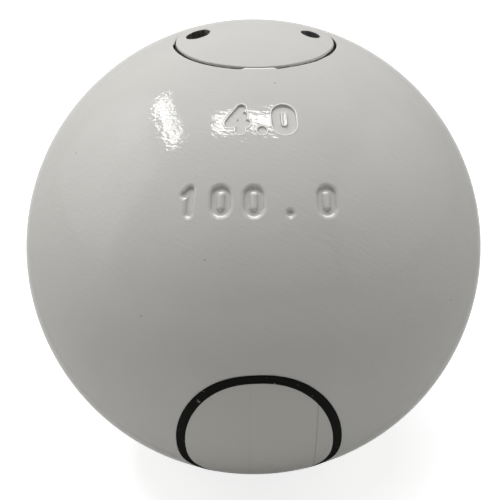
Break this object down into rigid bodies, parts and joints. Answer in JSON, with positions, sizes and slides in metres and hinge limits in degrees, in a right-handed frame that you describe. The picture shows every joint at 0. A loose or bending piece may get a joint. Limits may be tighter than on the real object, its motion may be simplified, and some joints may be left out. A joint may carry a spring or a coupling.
{
  "type": "shot put",
  "caption": "Painted iron throwing ball with a lead core, closed by a screwed domed plug that has two pin-spanner holes.",
  "frame": {"origin": "centre of the ball", "axes": "+Z out along the plug's axis, -Y towards the stamped numbers and the label, +X to the right of a reader who faces them"},
  "size_m": [0.1, 0.1, 0.1],
  "materials": {
    "enamel": "gloss",
    "rubber": "matte",
    "felt": "matte",
    "lead": "satin",
    "label_film": "satin"
  },
  "bodies": {
    "ball": {"shell": "enamel", "lead_core": "lead", "packing_wad": "felt", "blank_label": "label_film"},
    "washer": {"sealing_washer": "rubber"},
    "plug": {"filler_plug": "enamel"}
  },
  "joints": [
    {"name": "plug_lift", "type": "slide", "parent": "ball", "child": "washer", "axis": [0, 0, 1], "range_m": [0, 0.012]},
    {"name": "plug_turn", "type": "hinge", "parent": "washer", "child": "plug", "pos_m": [0, 0, 0.0421], "axis": [0, 0, 1], "range_deg": [0, 1440]}
  ],
  "couplings": [
    {"joint": "plug_turn", "follows": "plug_lift", "rad_per_m": 2094.4}
  ]
}
